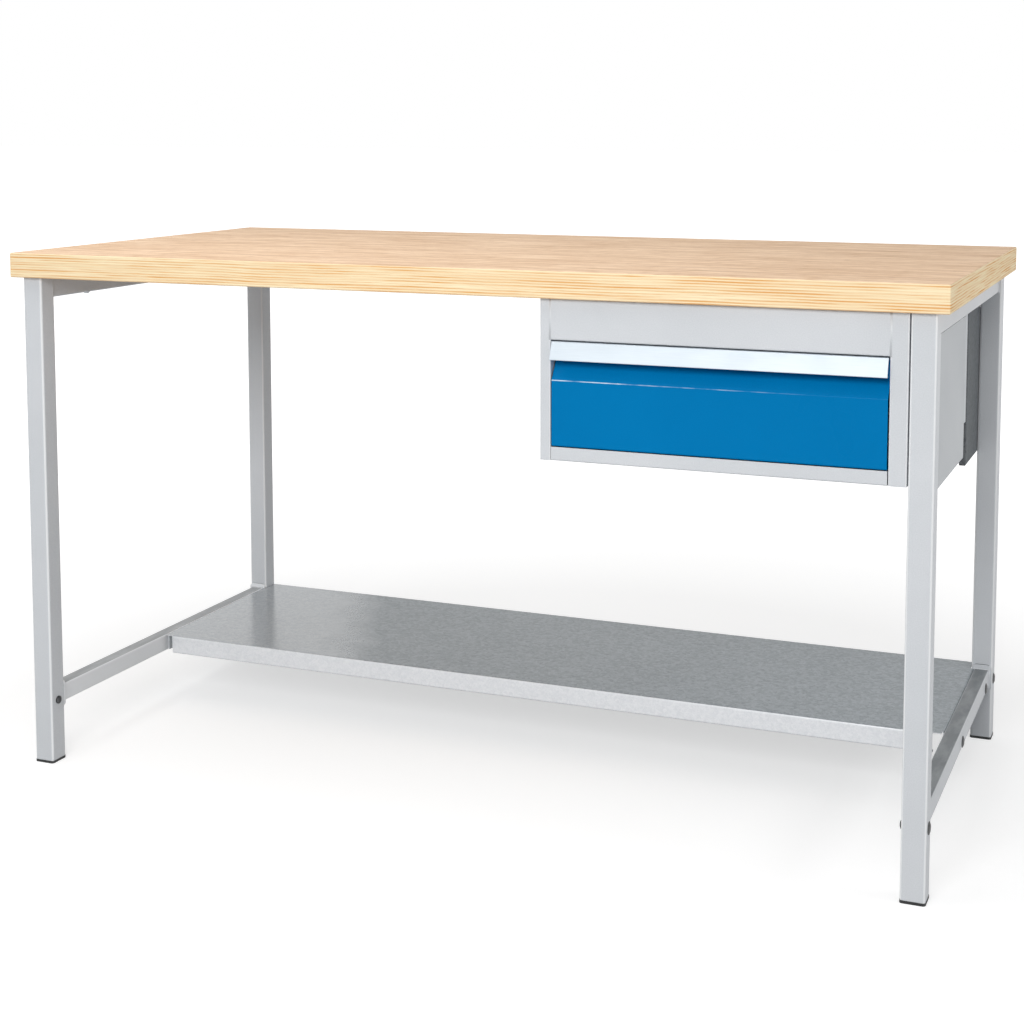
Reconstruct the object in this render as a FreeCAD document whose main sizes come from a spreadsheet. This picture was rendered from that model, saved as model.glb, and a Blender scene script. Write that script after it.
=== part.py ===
import FreeCAD, Part
import math
import os
import re
import Sketcher

# A workshop bench: two steel end frames under a plywood top, a half-depth shelf low at the back,
# and one drawer on telescopic slides in a sheet housing at the right.
# +X is the bench's right, +Y its back, +Z up. The origin is the middle of the footprint, on the floor.

doc = FreeCAD.newDocument("Workbench")
sheet = doc.addObject("Spreadsheet::Sheet", "Sizes")

# Driving dimensions, in millimetres.
SIZES = {
    # worktop
    "top_length": 1500, "top_depth": 750, "top_thick": 40, "bench_height": 850, "top_edge_round": 2,
    # legs and foot caps
    "leg_size": 35, "leg_wall": 2, "leg_corner": 4, "side_inset": 17.5, "end_inset": 10,
    "foot_height": 4, "foot_lip": 0.5, "foot_plug_height": 18, "fit_gap": 0.3,
    # end rails
    "rail_width": 25, "rail_wall": 2, "rail_corner": 3, "upper_rail_height": 35,
    "lower_rail_height": 30, "lower_rail_level": 109, "end_plate_thick": 4, "end_plate_width": 33,
    "end_plate_height": 46, "end_plate_corner": 8, "tongue_thick": 8, "tongue_height": 26,
    "tongue_end_gap": 6, "cross_bolt_drop": 5,
    # back rail
    "back_rail_height": 60, "back_rail_depth": 30, "back_rail_sheet": 2, "back_rail_bend": 2,
    "back_plate_thick": 4, "back_bolt_pitch": 30,
    # shelf
    "shelf_sheet": 1.5, "shelf_depth": 390, "shelf_lip": 32, "shelf_hem": 12, "lip_setback": 16,
    "shelf_flange": 30, "shelf_bend": 1.5, "shelf_notch_gap": 1, "shelf_bolt_front": 35,
    "shelf_bolt_back": 80,
    # closing panels in the right end frame
    "panel_sheet": 1.5, "panel_bend": 1, "panel_height": 215, "panel_flange": 20, "panel_recess": 1,
    "panel_front_length": 281, "panel_back_height": 291.5, "panel_back_flange": 11, "panel_screw_edge": 40,
    "panel_notch_gap": 2,
    # drawer housing
    "housing_width": 526, "housing_height": 235, "housing_depth": 560, "housing_sheet": 1.5,
    "housing_leg_gap": 1.5, "housing_flange": 25, "stile_left": 16.5, "stile_right": 25, "stile_return": 18,
    "housing_bend": 1, "fascia_height": 60, "fascia_return": 18, "sill_height": 20, "sill_gap": 1,
    "floor_flange": 12, "housing_screw_front": 90,
    # drawer front and handle strip
    "front_side_gap": 1.75, "front_low_gap": 1, "front_high_gap": 2, "front_sheet": 1.2,
    "front_bend": 1.5, "front_face_height": 96, "recess_height": 26, "recess_depth": 18, "front_hem": 24,
    "handle_round": 1, "handle_height": 26, "handle_thick": 2.5, "handle_lean": 10, "handle_bead": 6,
    "ledge_back_gap": 1,
    # drawer tray
    "tray_sheet": 1, "tray_height": 112, "tray_front_height": 144, "tray_hem": 3, "tray_hem_drop": 6,
    # telescopic slides
    "slide_back_gap": 37, "slide_height": 45, "slide_thick": 12.7, "slide_sheet": 1.2, "slide_play": 0.3,
    "slide_reach": 9.5, "slide_lip": 3.5, "slide_clear": 1, "slide_level": 52, "slide_front_gap": 0.8,
    "slide_screw_share": 0.38,
    "bracket_sheet": 1.5, "bracket_height": 40, "bracket_foot": 12,
    # bolts, nuts, screws and rivets
    "bolt_size": 8, "bolt_head": 18, "bolt_head_height": 2.4, "hole_play": 0.6, "nut_size": 13,
    "nut_height": 3.6, "nut_grip": 2.2, "nut_floor_gap": 0.4, "screw_size": 6, "screw_head": 12,
    "screw_head_height": 3.5, "screw_grip": 25, "screw_pitch": 220, "back_screw_pitch": 500,
    "panel_screw_size": 5, "panel_screw_length": 10, "rivet_size": 4, "rivet_head": 8,
    "rivet_head_height": 1.6, "rivet_tail": 2, "front_rivet_pitch": 130, "handle_screw_back": 8,
    # shape of a low round head, as shares of its width and height
    "head_crown_share": 0.3, "head_rim_share": 0.35,
    # one overrun for every cut that has to pass clean through
    "overrun": 1,
}

# Places that follow from the sizes above.
PLACES = {
    "deck": "bench_height - top_thick",
    "leg_x": "top_length / 2 - side_inset - leg_size / 2",
    "leg_y": "top_depth / 2 - end_inset - leg_size / 2",
    "leg_in_x": "leg_x - leg_size / 2",
    "leg_out_x": "leg_x + leg_size / 2",
    "leg_in_y": "leg_y - leg_size / 2",
    "leg_out_y": "leg_y + leg_size / 2",
    "rail_in_x": "leg_x - rail_width / 2",
    "rail_out_x": "leg_x + rail_width / 2",
    "upper_rail_low": "deck - upper_rail_height",
    "lower_rail_top": "lower_rail_level + lower_rail_height / 2",
    "cross_bolt_level": "lower_rail_level - cross_bolt_drop",
    "tongue_reach": "leg_size - leg_wall - tongue_end_gap",
    "back_plate_x": "leg_in_x - back_plate_thick",
    "back_rail_front": "leg_y - back_rail_depth / 2",
    "back_rail_low": "deck - back_rail_height",
    "shelf_front": "leg_out_y - shelf_depth",
    "shelf_fold": "shelf_bend + shelf_sheet",
    "shelf_bolt_near": "shelf_front + shelf_bolt_front",
    "shelf_bolt_far": "leg_out_y - shelf_bolt_back",
    "panel_out_front": "rail_out_x - panel_recess",
    "panel_low": "upper_rail_low - panel_height",
    "panel_fold": "panel_bend + panel_sheet",
    "panel_back_high": "upper_rail_low + upper_rail_height / 2",
    "panel_back_low": "panel_back_high - panel_back_height",
    "front_y": "-leg_out_y",
    "housing_right": "leg_in_x - housing_leg_gap",
    "panel_reach": "panel_out_front - housing_right",
    "housing_left": "housing_right - housing_width",
    "housing_low": "deck - housing_height",
    "housing_fold": "housing_bend + housing_sheet",
    "housing_back": "front_y + housing_depth",
    "panel_back_length": "leg_in_y + leg_size - leg_corner - housing_back",
    "housing_screw_pitch": "housing_depth / 2 - housing_screw_front",
    "open_left": "housing_left + stile_left",
    "open_right": "housing_right - stile_right",
    "open_low": "housing_low + sill_height",
    "open_high": "deck - fascia_height",
    "drawer_left": "open_left + front_side_gap",
    "drawer_right": "open_right - front_side_gap",
    "drawer_width": "drawer_right - drawer_left",
    "drawer_middle": "(drawer_left + drawer_right) / 2",
    "drawer_low": "open_low + front_low_gap",
    "drawer_height": "open_high - front_high_gap - drawer_low",
    "flange_top": "drawer_height - handle_thick",
    "slide_left": "open_left + slide_clear",
    "slide_right": "open_right - slide_clear",
    "tray_left": "slide_left + slide_thick",
    "tray_right": "slide_right - slide_thick",
    "tray_width": "tray_right - tray_left",
    "tray_front": "front_y + recess_depth + front_sheet",
    "tray_low": "drawer_low + front_sheet",
    "slide_front": "tray_front + slide_front_gap",
    "slide_length": "housing_back - 2 * housing_sheet - slide_back_gap - slide_front",
    "slide_screw_pitch": "slide_length * slide_screw_share",
    "tray_depth": "slide_length",
    "slide_z": "tray_low + slide_level",
    "middle_half": "slide_height / 2 - slide_sheet - slide_play",
    "middle_near": "slide_sheet + slide_play",
    "middle_far": "slide_reach - slide_sheet - slide_play",
    "neck_half": "middle_half - slide_sheet - slide_lip + slide_play",
    "foot_far": "middle_far - slide_sheet - slide_play",
    "foot_half": "middle_half - slide_sheet - slide_play",
    "bolt_hole": "(bolt_size + hole_play) / 2",
    "screw_hole": "(screw_size + hole_play) / 2",
    "rivet_hole": "(rivet_size + hole_play) / 2",
    "panel_screw_hole": "(panel_screw_size + hole_play) / 2",
}

for row, (alias, number) in enumerate(SIZES.items(), start=1):
    sheet.set(f"A{row}", alias)
    sheet.set(f"B{row}", str(number))
    sheet.setAlias(f"B{row}", alias)
doc.recompute()

WORD = re.compile(r"[a-z_]+")
ALONG_X = FreeCAD.Rotation(FreeCAD.Vector(0, 1, 0), 90)
ALONG_MINUS_X = FreeCAD.Rotation(FreeCAD.Vector(0, 1, 0), -90)
ALONG_MINUS_Y = FreeCAD.Rotation(FreeCAD.Vector(1, 0, 0), 90)
ALONG_Z = FreeCAD.Rotation()
HALF_TURN_Y = FreeCAD.Rotation(FreeCAD.Vector(0, 1, 0), 180)

# The two axes of a body that the x and y of a sketch on each plane run along.
ACROSS = {"XY_Plane": "xy", "YZ_Plane": "yz", "XZ_Plane": "xz"}
# How near two points have to be to count as the same corner.
SAME_SPOT = 0.0001

nodes = []


def bind(text):
    """Spell a sum of named sizes and places as an expression on the sheet."""
    def spell(match):
        word = match.group(0)
        return f"({bind(PLACES[word])})" if word in PLACES else f"Sizes.{word}"
    return WORD.sub(spell, text)


def value(text):
    """Work out a sum of named sizes and places."""
    return float(sheet.evalExpression(bind(text)))


def place(thing, x="0", y="0", z="0", turn=ALONG_Z):
    """Put an object at named places, turned from its own axes."""
    thing.Placement = FreeCAD.Placement(FreeCAD.Vector(), turn)
    for axis, text in zip("xyz", (x, y, z)):
        thing.setExpression(f"Placement.Base.{axis}", bind(text))
    return thing


def node(thing, label):
    """Name a finished sub-part and remember to write it."""
    thing.Label = label
    nodes.append(thing)
    return thing


def new_sketch(body, plane):
    """Open a sketch on one of a body's own origin planes."""
    sketch = body.newObject("Sketcher::SketchObject", body.Name + "Sketch")
    support = next(item for item in body.Origin.OriginFeatures if item.Role == plane)
    sketch.AttachmentSupport = (support, [""])
    sketch.MapMode = "FlatFace"
    return sketch


def hold(sketch, kind, line, point, text):
    """Hold a point of the sketch at a named distance from its origin, point 1 of geometry -1."""
    index = sketch.addConstraint(Sketcher.Constraint(kind, -1, 1, line, point, value(text)))
    sketch.setExpression(f"Constraints[{index}]", bind(text))


def outline(sketch, points):
    """Draw a closed outline with straight sides: point 1 of a side is its start, point 2 its end."""
    corners = [FreeCAD.Vector(value(x), value(y), 0) for x, y in points]
    first = sketch.GeometryCount
    for start, end in zip(corners, corners[1:] + corners[:1]):
        sketch.addGeometry(Part.LineSegment(start, end), False)
    for number, (x, y) in enumerate(points):
        following = first + (number + 1) % len(points)
        sketch.addConstraint(Sketcher.Constraint("Coincident", first + number, 2, following, 1))
        hold(sketch, "DistanceX", first + number, 1, x)
        hold(sketch, "DistanceY", first + number, 1, y)


def rounded_rectangle(sketch, width, height, radius):
    """Draw a rectangle with rounded corners about the sketch's origin."""
    half_width, half_height, corner = value(f"({width}) / 2"), value(f"({height}) / 2"), value(radius)
    flat_x, flat_y = half_width - corner, half_height - corner
    sides = [((half_width, -flat_y), (half_width, flat_y)), ((flat_x, half_height), (-flat_x, half_height)),
             ((-half_width, flat_y), (-half_width, -flat_y)),
             ((-flat_x, -half_height), (flat_x, -half_height))]
    centres = [(flat_x, flat_y), (-flat_x, flat_y), (-flat_x, -flat_y), (flat_x, -flat_y)]
    first = sketch.GeometryCount
    for number, ((start, end), centre) in enumerate(zip(sides, centres)):
        sketch.addGeometry(Part.LineSegment(FreeCAD.Vector(*start, 0), FreeCAD.Vector(*end, 0)), False)
        circle = Part.Circle(FreeCAD.Vector(*centre, 0), FreeCAD.Vector(0, 0, 1), corner)
        sketch.addGeometry(Part.ArcOfCircle(circle, number * math.pi / 2, (number + 1) * math.pi / 2), False)
    for number in range(8):
        following = first + (number + 1) % 8
        sketch.addConstraint(Sketcher.Constraint("Tangent", first + number, 2, following, 1))
    reaches = (f"({width}) / 2", f"({height}) / 2", f"-({width}) / 2", f"-({height}) / 2")
    for number, text in enumerate(reaches):
        line = first + 2 * number
        upright = number % 2 == 0
        sketch.addConstraint(Sketcher.Constraint("Vertical" if upright else "Horizontal", line))
        hold(sketch, "DistanceX" if upright else "DistanceY", line, 1, text)
        index = sketch.addConstraint(Sketcher.Constraint("Radius", line + 1, corner))
        sketch.setExpression(f"Constraints[{index}]", bind(radius))


def pad(body, sketch, length, backwards=False):
    """Pad a sketch by a named length."""
    feature = body.newObject("PartDesign::Pad", body.Name + "Pad")
    feature.Profile = sketch
    feature.Reversed = backwards
    feature.setExpression("Length", bind(length))
    return feature


def profile(name, plane, points, length, backwards=False):
    """Make a bar or a folded sheet: a closed outline padded by a named length."""
    body = doc.addObject("PartDesign::Body", name)
    sketch = new_sketch(body, plane)
    outline(sketch, points)
    pad(body, sketch, length, backwards)
    return body


def round_off(body, plane, corners, radius):
    """Round the long edges of a bar or a folded sheet that pass through named corners of its outline."""
    doc.recompute()
    base = body.Tip
    spots = [FreeCAD.Vector(value(x), value(y), 0) for x, y in corners]
    edges = []
    for number, edge in enumerate(base.Shape.Edges, start=1):
        ends = [FreeCAD.Vector(*(getattr(end.Point, axis) for axis in ACROSS[plane]), 0)
                for end in edge.Vertexes]
        if any(all(end.isEqual(spot, SAME_SPOT) for end in ends) for spot in spots):
            edges.append(f"Edge{number}")
    rounding = body.newObject("PartDesign::Fillet", body.Name + "Round")
    rounding.Base = (base, edges)
    rounding.setExpression("Radius", bind(radius))
    return body


def tube(name, plane, width, height, corner, wall, length):
    """Make a rectangular tube with rounded corners, centred on its own axis."""
    body = doc.addObject("PartDesign::Body", name)
    sketch = new_sketch(body, plane)
    rounded_rectangle(sketch, width, height, corner)
    rounded_rectangle(sketch, f"({width}) - 2 * {wall}", f"({height}) - 2 * {wall}", f"{corner} - {wall} / 2")
    pad(body, sketch, length, backwards=plane == "XZ_Plane")
    return body


def plate(name, plane, width, height, corner, thick):
    """Make a flat plate with rounded corners, centred on its own axis."""
    body = doc.addObject("PartDesign::Body", name)
    sketch = new_sketch(body, plane)
    rounded_rectangle(sketch, width, height, corner)
    pad(body, sketch, thick, backwards=plane == "XZ_Plane")
    return body


def box(name, x, y, z, length, width, height):
    """Make a block from its low corner and its three named lengths."""
    block = doc.addObject("Part::Box", name)
    for side, text in (("Length", length), ("Width", width), ("Height", height)):
        block.setExpression(side, bind(text))
    return place(block, x, y, z)


def drill(name, x, y, z, radius, depth, turn):
    """Make the round tool for a hole that starts at a place and runs along a direction."""
    tool = doc.addObject("Part::Cylinder", name)
    tool.setExpression("Radius", bind(radius))
    tool.setExpression("Height", bind(depth))
    return place(tool, x, y, z, turn)


def fuse(name, shapes):
    """Join pieces that are welded or folded from one sheet."""
    joined = doc.addObject("Part::MultiFuse", name)
    joined.Shapes = shapes
    joined.Refine = True
    return joined


def cut(name, base, tools):
    """Cut tools from a base."""
    result = doc.addObject("Part::Cut", name)
    result.Base = base
    result.Tool = tools[0] if len(tools) == 1 else fuse(name + "Tools", tools)
    result.Refine = True
    return result


def group(label, shapes):
    """Gather separate solids of one kind in one sub-part."""
    gathered = doc.addObject("Part::Compound", label)
    gathered.Links = shapes
    return node(gathered, label)


def turned(name, points):
    """Turn a half outline round its own upright axis."""
    body = doc.addObject("PartDesign::Body", name)
    sketch = new_sketch(body, "XZ_Plane")
    outline(sketch, points)
    feature = body.newObject("PartDesign::Revolution", name + "Turn")
    feature.Profile = sketch
    feature.ReferenceAxis = (sketch, ["V_Axis"])
    return body


def headed(name, shank, head, head_height, length):
    """Turn a bolt, screw or rivet: its seat at height zero, its shank upwards, its low round head below."""
    return turned(name, [
        ("0", f"-{head_height}"), (f"{head} * head_crown_share", f"-{head_height}"),
        (f"{head} / 2", f"-{head_height} * head_rim_share"), (f"{head} / 2", "0"),
        (f"{shank} / 2", "0"), (f"{shank} / 2", length), ("0", length)])


def copies(name, master, spots):
    """Place copies of one fastener at named spots, each with its own direction."""
    links = []
    for number, (x, y, z, turn) in enumerate(spots):
        link = doc.addObject("App::Link", f"{name}{number}")
        link.setLink(master)
        links.append(place(link, x, y, z, turn))
    return links


def both(text):
    """Name a place on each side of the middle."""
    return f"-({text})", f"({text})"


SIDES = {"left": "-", "right": ""}
ENDS = {"front": "-", "back": ""}
INWARD = {"left": ALONG_X, "right": ALONG_MINUS_X}
OUTWARD = {"left": ALONG_MINUS_X, "right": ALONG_X}

# Spots of the fasteners, which the holes share.
RAIL_SCREWS = [(x, f"{step} * screw_pitch") for x in both("leg_x") for step in (-1, 0, 1)]
BACK_SCREWS = [(f"{step} * back_screw_pitch", "leg_y") for step in (-1, 0, 1)]
HOUSING_SCREWS = [(x, f"front_y + housing_screw_front + {step} * housing_screw_pitch")
                  for x in ("housing_left + housing_flange / 2", "housing_right - housing_flange / 2")
                  for step in range(3)]
BACK_BOLT_LEVELS = [f"deck - back_rail_height / 2 + {step} * back_bolt_pitch / 2" for step in (-1, 1)]
SHELF_BOLTS = ("shelf_bolt_near", "shelf_bolt_far")
PANEL_SCREW_LEVELS = {
    "front": ("panel_low + panel_screw_edge", "upper_rail_low - panel_screw_edge"),
    "back": ("panel_back_low + panel_screw_edge", "back_rail_low - panel_screw_edge")}
RIVET_SHARES = (-1.5, -0.5, 0.5, 1.5)
FRONT_RIVETS = [f"drawer_middle + {share} * front_rivet_pitch" for share in RIVET_SHARES]
FRONT_RIVET_Z = "drawer_low + (front_face_height + recess_height + flange_top) / 2"
SLIDE_SCREWS = [f"slide_front + slide_length / 2 + {step} * slide_screw_pitch" for step in (-1, 0, 1)]


def folded_channel(name, depth, height, thick, bend, length):
    """Fold a channel: its web stands at zero, its two flanges reach to the depth, and it runs along x."""
    high_in = f"{height} - {thick}"
    bar = profile(name, "YZ_Plane", [
        ("0", "0"), (depth, "0"), (depth, thick), (thick, thick), (thick, high_in), (depth, high_in),
        (depth, height), ("0", height)], length)
    round_off(bar, "YZ_Plane", [("0", "0"), ("0", height)], f"{bend} + {thick}")
    return round_off(bar, "YZ_Plane", [(thick, thick), (thick, high_in)], bend)


def panel_spot(end, setback):
    """Where the screws of an end panel go into its leg, set back from the leg's face."""
    if end == "front":
        return "panel_out_front - panel_flange / 2", f"({setback}) - leg_in_y", ALONG_MINUS_Y
    return f"leg_in_x - ({setback})", "leg_y", ALONG_X


def panel_holes(name, end, setback, wall):
    """Make the tools for the screw holes of an end panel through one wall."""
    x, y, turn = panel_spot(end, setback)
    return [drill(f"{name}{number}", x, y, level, "panel_screw_hole", f"{wall} + 2 * overrun", turn)
            for number, level in enumerate(PANEL_SCREW_LEVELS[end])]


def make_worktop():
    """Plywood board with softened edges and blind pilot holes for the screws from below."""
    body = doc.addObject("PartDesign::Body", "Board")
    sketch = new_sketch(body, "XY_Plane")
    (left, right), (front, back) = both("top_length / 2"), both("top_depth / 2")
    outline(sketch, [(left, front), (right, front), (right, back), (left, back)])
    slab = pad(body, sketch, "top_thick")
    doc.recompute()
    rounding = body.newObject("PartDesign::Fillet", "BoardRound")
    rounding.Base = (slab, [f"Edge{number}" for number in range(1, len(slab.Shape.Edges) + 1)])
    rounding.setExpression("Radius", bind("top_edge_round"))
    place(body, z="deck")
    pilots = [drill(f"Pilot{number}", x, y, "deck - overrun", "screw_hole",
                    "overrun + screw_grip + fit_gap", ALONG_Z)
              for number, (x, y) in enumerate(RAIL_SCREWS + BACK_SCREWS + HOUSING_SCREWS)]
    node(cut("Worktop", body, pilots), "worktop")


def make_leg(end, side):
    """Square tube leg, slotted for the lower rail's tongue and drilled for its bolts."""
    name = f"Leg{end.title()}{side.title()}"
    x, y = f"{SIDES[side]}leg_x", f"{ENDS[end]}leg_y"
    post = tube(name + "Tube", "XY_Plane", "leg_size", "leg_size", "leg_corner", "leg_wall",
                "deck - foot_height")
    place(post, x, y, "foot_height")
    inner_wall = "-leg_in_y - leg_wall" if end == "front" else "leg_in_y"
    tools = [
        drill(name + "CrossHole", f"{x} - leg_size / 2 - overrun", y, "cross_bolt_level", "bolt_hole",
              "leg_size + 2 * overrun", ALONG_X),
        box(name + "Slot", f"{x} - tongue_thick / 2 - fit_gap", f"{inner_wall} - overrun",
            "lower_rail_level - tongue_height / 2 - fit_gap", "tongue_thick + 2 * fit_gap",
            "leg_wall + 2 * overrun", "tongue_height + 2 * fit_gap")]
    if end == "back":
        tools += [drill(f"{name}BackHole{number}", f"{SIDES[side]}(leg_in_x - overrun)", y, level,
                        "bolt_hole", "leg_wall + 2 * overrun", OUTWARD[side])
                  for number, level in enumerate(BACK_BOLT_LEVELS)]
    if side == "right":
        tools += panel_holes(name + "PanelHole", end, "overrun", "leg_wall")
    node(cut(name, post, tools), f"leg_{end}_{side}")


def make_foot_caps():
    """Plastic caps: a thin sole under each leg with a plug inside the tube."""
    caps = []
    for end in ENDS:
        for side in SIDES:
            body = doc.addObject("PartDesign::Body", f"FootCap{end.title()}{side.title()}")
            sole = new_sketch(body, "XY_Plane")
            spread = "leg_size + 2 * foot_lip"
            rounded_rectangle(sole, spread, spread, "leg_corner + foot_lip")
            pad(body, sole, "foot_height")
            plug = new_sketch(body, "XY_Plane")
            width = "leg_size - 2 * leg_wall - 2 * fit_gap"
            rounded_rectangle(plug, width, width, "leg_corner - leg_wall / 2")
            pad(body, plug, "foot_height + foot_plug_height")
            caps.append(place(body, f"{SIDES[side]}leg_x", f"{ENDS[end]}leg_y"))
    group("foot_caps", caps)


def make_upper_rail(side):
    """Tube under the top between the two legs of an end frame, drilled for the screws into the top."""
    name = f"UpperRail{side.title()}"
    bar = tube(name + "Tube", "XZ_Plane", "rail_width", "upper_rail_height", "rail_corner", "rail_wall",
               "2 * leg_in_y")
    place(bar, f"{SIDES[side]}leg_x", "-leg_in_y", "deck - upper_rail_height / 2")
    spots = RAIL_SCREWS[:3] if side == "left" else RAIL_SCREWS[3:]
    tools = [drill(f"{name}Hole{number}", x, y, "upper_rail_low - overrun", "screw_hole",
                   "upper_rail_height + 2 * overrun", ALONG_Z) for number, (x, y) in enumerate(spots)]
    node(cut(name, bar, tools), f"rail_upper_{side}")


def make_lower_rail(side):
    """Tube with a welded plate and tongue at each end: the tongue enters the leg and takes its cross bolt."""
    name = f"LowerRail{side.title()}"
    x = f"{SIDES[side]}leg_x"
    bar = tube(name + "Tube", "XZ_Plane", "rail_width", "lower_rail_height", "rail_corner", "rail_wall",
               "2 * leg_in_y - 2 * end_plate_thick")
    pieces = [place(bar, x, "-leg_in_y + end_plate_thick", "lower_rail_level")]
    tools = []
    for end in ENDS:
        flange = plate(f"{name}{end.title()}Plate", "XZ_Plane", "end_plate_width", "end_plate_height",
                       "end_plate_corner", "end_plate_thick")
        seat = "-leg_in_y" if end == "front" else "leg_in_y - end_plate_thick"
        root = "-leg_in_y - tongue_reach" if end == "front" else "leg_in_y"
        pieces.append(place(flange, x, seat, "lower_rail_level"))
        pieces.append(box(f"{name}{end.title()}Tongue", f"{x} - tongue_thick / 2", root,
                          "lower_rail_level - tongue_height / 2", "tongue_thick", "tongue_reach",
                          "tongue_height"))
        tools.append(drill(f"{name}{end.title()}Hole", f"{x} - leg_size / 2", f"{ENDS[end]}leg_y",
                           "cross_bolt_level", "bolt_hole", "leg_size", ALONG_X))
    tools += [drill(f"{name}ShelfHole{number}", f"{x} - rail_width / 2 - overrun", y, "cross_bolt_level",
                    "bolt_hole", "rail_width + 2 * overrun", ALONG_X) for number, y in enumerate(SHELF_BOLTS)]
    node(cut(name, fuse(name + "Weldment", pieces), tools), f"rail_lower_{side}")


def make_back_rail():
    """Folded channel between the back legs, open to the back, with a bolted plate at each end."""
    bar = folded_channel("BackRailChannel", "back_rail_depth", "back_rail_height", "back_rail_sheet",
                         "back_rail_bend", "2 * back_plate_x")
    pieces = [place(bar, "-back_plate_x", "back_rail_front", "back_rail_low")]
    tools = []
    for side, x in (("left", "-leg_in_x"), ("right", "back_plate_x")):
        pieces.append(box(f"BackRailPlate{side.title()}", x, "back_rail_front", "back_rail_low",
                          "back_plate_thick", "back_rail_depth", "back_rail_height"))
        tools += [drill(f"BackRailBoltHole{side.title()}{number}", f"{x} - overrun", "leg_y", level,
                        "bolt_hole", "back_plate_thick + 2 * overrun", ALONG_X)
                  for number, level in enumerate(BACK_BOLT_LEVELS)]
    tools += [drill(f"BackRailScrewHole{number}", x, y, "deck - back_rail_sheet - overrun", "screw_hole",
                    "back_rail_sheet + 2 * overrun", ALONG_Z) for number, (x, y) in enumerate(BACK_SCREWS)]
    node(cut("BackRail", fuse("BackRailWeldment", pieces), tools), "rail_back")


def make_shelf():
    """Half-depth sheet shelf: lips with hems front and back, end flanges bolted to the lower rails."""
    lip_half = "rail_in_x - lip_setback"
    low, far = "-shelf_lip", "shelf_depth"
    near_in, far_in, low_in = "shelf_sheet", f"{far} - shelf_sheet", f"{low} + shelf_sheet"
    pan = profile("ShelfPan", "YZ_Plane", [
        ("0", "0"), ("0", low), ("shelf_hem", low), ("shelf_hem", low_in), (near_in, low_in),
        (near_in, "-shelf_sheet"), (far_in, "-shelf_sheet"), (far_in, low_in), (f"{far} - shelf_hem", low_in),
        (f"{far} - shelf_hem", low), (far, low), (far, "0")], f"2 * ({lip_half})")
    round_off(pan, "YZ_Plane", [("0", "0"), ("0", low), (far, "0"), (far, low)], "shelf_fold")
    round_off(pan, "YZ_Plane", [(near_in, low_in), (near_in, "-shelf_sheet"), (far_in, low_in),
                                (far_in, "-shelf_sheet")], "shelf_bend")
    place(pan, f"-({lip_half})", "shelf_front", "lower_rail_top")
    notch_x = "(leg_in_x - shelf_notch_gap)"
    notch_y = "(leg_in_y - end_plate_thick - shelf_notch_gap)"
    left, right = both("rail_in_x")
    left_in, right_in = both("rail_in_x - shelf_sheet")
    ends = profile("ShelfEnds", "XZ_Plane", [
        (left, "0"), (left, "-shelf_flange"), (left_in, "-shelf_flange"), (left_in, "-shelf_sheet"),
        (right_in, "-shelf_sheet"), (right_in, "-shelf_flange"), (right, "-shelf_flange"), (right, "0")],
        f"{notch_y} - shelf_front - shelf_hem", backwards=True)
    round_off(ends, "XZ_Plane", [(left, "0"), (right, "0")], "shelf_fold")
    round_off(ends, "XZ_Plane", [(left_in, "-shelf_sheet"), (right_in, "-shelf_sheet")], "shelf_bend")
    place(ends, y="shelf_front + shelf_hem", z="lower_rail_top")
    flat_left, flat_right = both("rail_in_x - shelf_fold")
    front, back = "shelf_front + shelf_fold", "leg_out_y - shelf_fold"
    deck_sheet = profile("ShelfDeck", "XY_Plane", [
        (flat_left, front), (flat_right, front), (flat_right, notch_y), (notch_x, notch_y), (notch_x, back),
        (f"-{notch_x}", back), (f"-{notch_x}", notch_y), (flat_left, notch_y)], "shelf_sheet")
    place(deck_sheet, z="lower_rail_top - shelf_sheet")
    tools = [drill(f"ShelfHole{side.title()}{number}", f"{x} - overrun", y, "cross_bolt_level", "bolt_hole",
                   "shelf_sheet + 2 * overrun", ALONG_X)
             for side, x in (("left", "-rail_in_x"), ("right", "rail_in_x - shelf_sheet"))
             for number, y in enumerate(SHELF_BOLTS)]
    node(cut("Shelf", fuse("ShelfFolded", [pan, ends, deck_sheet]), tools), "shelf")


def panel_foot(name, out, length):
    """Fold the foot of an end panel, which turns in under its face."""
    out_in = f"{out} - panel_sheet"
    foot = profile(name, "XZ_Plane", [
        ("0", "0"), (out, "0"), (out, "2 * panel_fold"), (out_in, "2 * panel_fold"), (out_in, "panel_sheet"),
        ("0", "panel_sheet")], f"{length} - 2 * panel_fold", backwards=True)
    round_off(foot, "XZ_Plane", [(out, "0")], "panel_fold")
    return round_off(foot, "XZ_Plane", [(out_in, "panel_sheet")], "panel_bend")


def make_end_panel():
    """Folded pan beside the drawer: one fold on the front leg, the other runs in to the housing."""
    out, out_in, reach = "panel_flange", "panel_flange - panel_sheet", "panel_flange - panel_reach"
    far, far_in = "panel_front_length", "panel_front_length - panel_sheet"
    wrap = profile("EndPanelWrap", "XY_Plane", [
        ("0", "0"), (out, "0"), (out, far), (reach, far), (reach, far_in), (out_in, far_in),
        (out_in, "panel_sheet"), ("0", "panel_sheet")], "panel_height - panel_fold")
    round_off(wrap, "XY_Plane", [(out, "0"), (out, far)], "panel_fold")
    round_off(wrap, "XY_Plane", [(out_in, "panel_sheet"), (out_in, far_in)], "panel_bend")
    place(wrap, "panel_out_front - panel_flange", "-leg_in_y", "panel_low + panel_fold")
    foot = place(panel_foot("EndPanelFoot", out, far), "panel_out_front - panel_flange",
                 "panel_fold - leg_in_y", "panel_low")
    tools = panel_holes("EndPanelHole", "front", "panel_sheet + overrun", "panel_sheet")
    node(cut("EndPanel", fuse("EndPanelFolded", [wrap, foot]), tools), "end_panel")


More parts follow.
